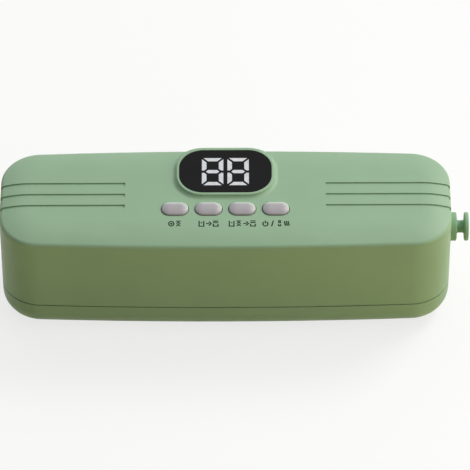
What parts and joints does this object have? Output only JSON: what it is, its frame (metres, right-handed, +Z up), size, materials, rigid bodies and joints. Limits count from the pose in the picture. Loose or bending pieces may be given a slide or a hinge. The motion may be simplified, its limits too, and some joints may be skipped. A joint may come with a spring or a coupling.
{
  "type": "mini bag sealer",
  "caption": "Handheld mini bag sealer: bowed soft-edged housing hinged at the rear over a slim jaw, heat strip, suction trough, raised digit display, press keys and lanyard post.",
  "frame": {"origin": "centre of the underside of the foot pad, on the surface that the sealer stands on", "axes": "+X along the body towards the lanyard post, -Y to the front where the bag goes in, +Z up"},
  "size_m": [0.1761, 0.0568, 0.0491],
  "materials": {
    "sage_plastic": "satin moulded",
    "dark_plastic": "matt moulded",
    "steel": "bright",
    "magnet": "nickel plated",
    "pale_silicone": "soft",
    "red_silicone": "soft",
    "pad_rubber": "matt",
    "heater_laminate": "laminate",
    "cover_tape": "coated glass cloth",
    "white_plastic": "satin",
    "black_window": "polished",
    "lit_segments": "lit",
    "black_plastic": "matt",
    "circuit_board": "lacquered",
    "cell_sleeve": "film sleeve",
    "motor_can": "plated",
    "key_plastic": "satin"
  },
  "bodies": {
    "jaw": {"lower_jaw": "sage_plastic", "jaw_deck": "dark_plastic", "trough_tub": "dark_plastic", "deck_screws": "steel", "jaw_gasket": "pale_silicone", "press_strip": "red_silicone", "foot_pad": "pad_rubber", "jaw_magnets": "magnet", "hinge_pins": "steel"},
    "housing": {"upper_housing": "sage_plastic", "chassis_plate": "dark_plastic", "chassis_screws": "steel", "housing_gasket": "pale_silicone", "heater_bar": "heater_laminate", "heating_band": "steel", "heater_tape": "cover_tape", "housing_magnets": "magnet", "suction_nozzle": "white_plastic", "suction_tube": "pale_silicone", "display_window": "black_window", "digit_segments": "lit_segments", "digit_module": "black_plastic", "control_board": "circuit_board", "board_screws": "steel", "switch_bodies": "black_plastic", "battery_cells": "cell_sleeve", "battery_cradle": "dark_plastic", "cell_links": "steel", "pump_motor": "motor_can", "pump_head": "black_plastic", "pump_saddle": "dark_plastic", "charge_board": "circuit_board", "usb_socket": "steel", "lanyard_post": "sage_plastic", "lanyard_screw": "steel"},
    "key_1": {"key_cap_1": "key_plastic", "plunger_1": "black_plastic"},
    "key_2": {"key_cap_2": "key_plastic", "plunger_2": "black_plastic"},
    "key_3": {"key_cap_3": "key_plastic", "plunger_3": "black_plastic"},
    "key_4": {"key_cap_4": "key_plastic", "plunger_4": "black_plastic"}
  },
  "joints": [
    {"name": "housing_hinge", "type": "hinge", "parent": "jaw", "child": "housing", "pos_m": [0, 0.0285, 0.0135], "axis": [-1, 0, 0], "range_deg": [0, 35]},
    {"name": "key_1_press", "type": "slide", "parent": "housing", "child": "key_1", "axis": [0, 0, -1], "range_m": [0, 0.0006], "stiffness_N_per_m": 500, "springref_m": -0.0006},
    {"name": "key_2_press", "type": "slide", "parent": "housing", "child": "key_2", "axis": [0, 0, -1], "range_m": [0, 0.0006], "stiffness_N_per_m": 500, "springref_m": -0.0006},
    {"name": "key_3_press", "type": "slide", "parent": "housing", "child": "key_3", "axis": [0, 0, -1], "range_m": [0, 0.0006], "stiffness_N_per_m": 500, "springref_m": -0.0006},
    {"name": "key_4_press", "type": "slide", "parent": "housing", "child": "key_4", "axis": [0, 0, -1], "range_m": [0, 0.0006], "stiffness_N_per_m": 500, "springref_m": -0.0006}
  ]
}
